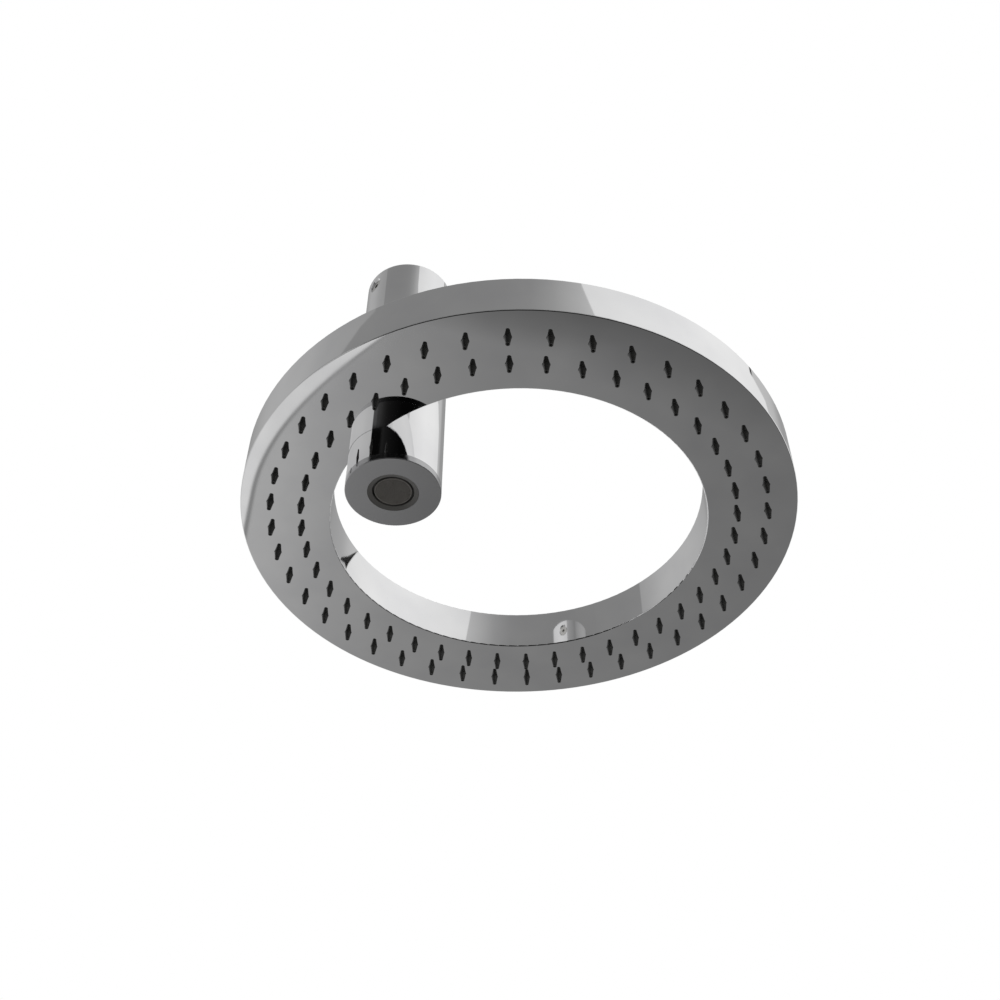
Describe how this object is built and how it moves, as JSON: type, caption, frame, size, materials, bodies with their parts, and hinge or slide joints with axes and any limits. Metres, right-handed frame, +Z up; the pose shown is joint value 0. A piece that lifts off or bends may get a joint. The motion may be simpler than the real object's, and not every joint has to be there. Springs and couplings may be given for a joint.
{
  "type": "ring rain shower head",
  "caption": "Ceiling shower head: flat chrome ring with circles of soft nozzles, on an off-centre round stem that ends in a jet outlet.",
  "frame": {"origin": "centre of the stem's top face, at the mouth of the inlet thread, where it meets the ceiling", "axes": "+Z up, out of the inlet thread; +X from the stem's axis to the ring's axis; the XZ plane is the mirror plane"},
  "size_m": [0.3, 0.3, 0.1611],
  "materials": {
    "ring_chrome": "polished chrome plate",
    "cover_chrome": "polished chrome plate",
    "stem_chrome": "polished chrome plate",
    "end_plate_chrome": "polished chrome plate",
    "nozzle_silicone": "moulded silicone, satin",
    "seal_rubber": "moulded silicone, satin",
    "raw_brass": "turned brass",
    "stainless": "stainless steel",
    "screw_steel": "stainless steel",
    "white_acetal": "moulded acetal, natural",
    "black_acetal": "moulded acetal, black",
    "wire_cloth": "fine wire cloth, dark"
  },
  "bodies": {
    "root": {"ring_housing": "ring_chrome", "nozzle_mat": "nozzle_silicone", "distributor_plate": "white_acetal", "standoffs": "stainless", "screw_seals": "seal_rubber", "back_cover": "cover_chrome", "cover_screws": "screw_steel", "outer_cover_seal": "seal_rubber", "inner_cover_seal": "seal_rubber", "ring_bracket": "raw_brass", "ring_bolt": "raw_brass", "ring_bolt_seals": "seal_rubber", "clamp_screws": "stainless", "stem_sleeve": "stem_chrome", "stem_screws": "screw_steel", "outlet_body": "end_plate_chrome", "supply_tube": "raw_brass", "inlet_hub": "raw_brass", "hub_seals": "seal_rubber", "inlet_washer": "seal_rubber", "inlet_filter": "stainless", "flow_regulator": "white_acetal", "jet_housing": "black_acetal", "jet_insert": "black_acetal", "jet_screen": "wire_cloth", "jet_strainer": "stainless", "jet_gasket": "seal_rubber"}
  },
  "joints": []
}
